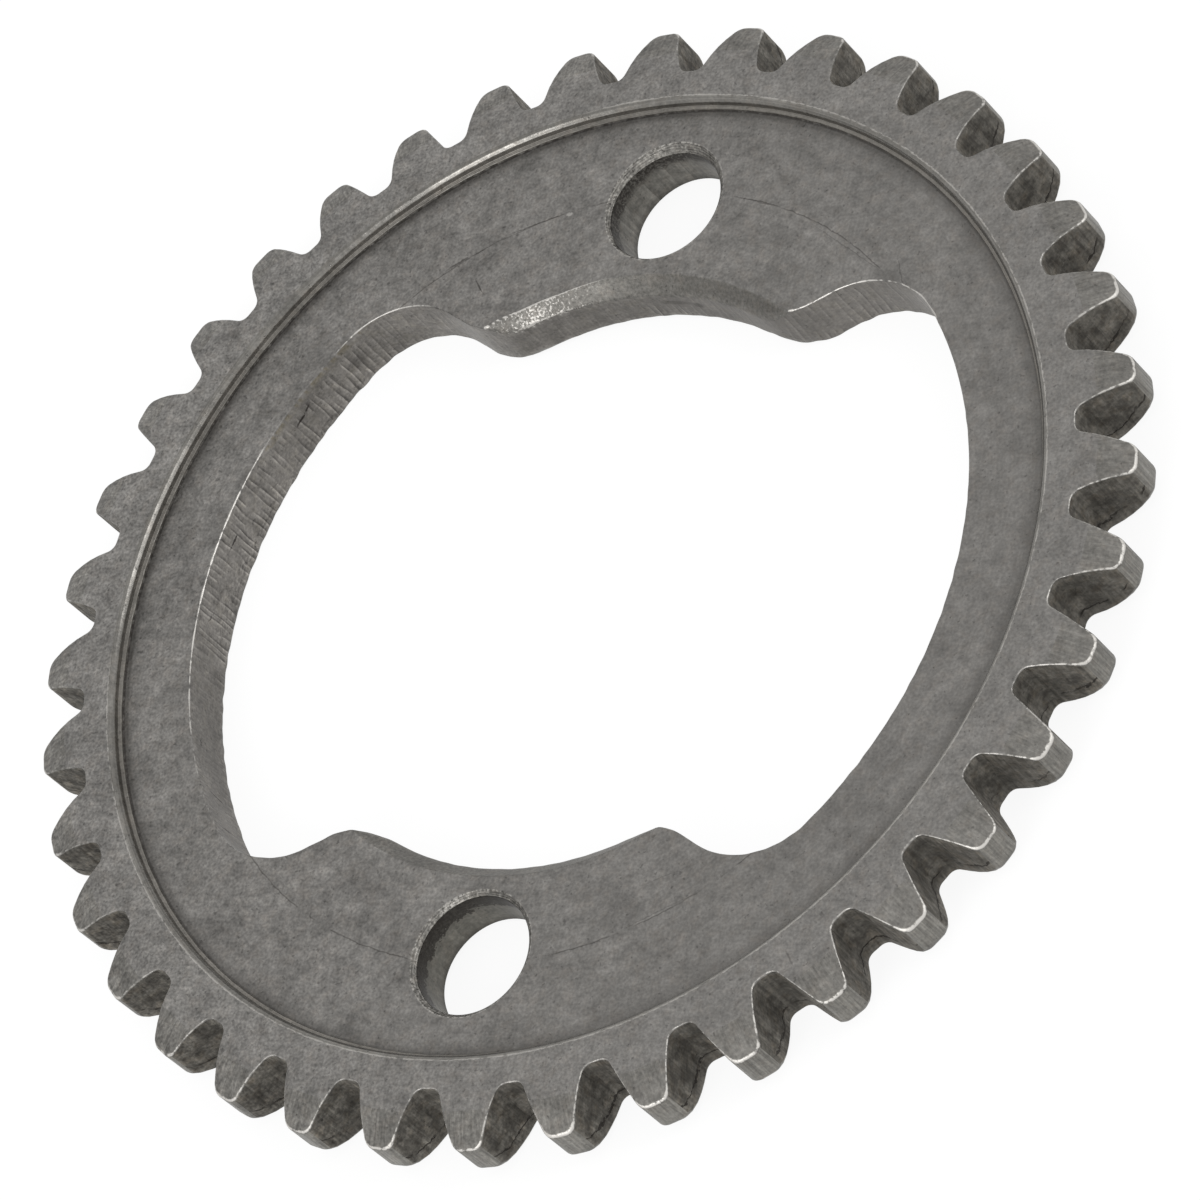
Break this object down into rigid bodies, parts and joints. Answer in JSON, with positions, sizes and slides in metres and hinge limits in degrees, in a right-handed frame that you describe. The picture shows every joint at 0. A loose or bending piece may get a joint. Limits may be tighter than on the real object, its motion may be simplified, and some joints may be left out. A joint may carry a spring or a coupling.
{
  "type": "camshaft sprocket",
  "caption": "Flat steel timing-chain wheel with flat-topped teeth, a raised toothed rim, a lobed centre opening that locates on a flange, and opposed bolt holes.",
  "frame": {"origin": "centre of the back face, on the axis of rotation", "axes": "+Z along the axis of rotation, out of the front face with the recessed web; the two bolt holes lie on the Y axis"},
  "size_m": [0.0772, 0.077, 0.0048],
  "materials": {
    "steel": "bare machined and hardened steel, dulled grey and finely pitted by use"
  },
  "bodies": {
    "root": {"sprocket": "steel"}
  },
  "joints": []
}
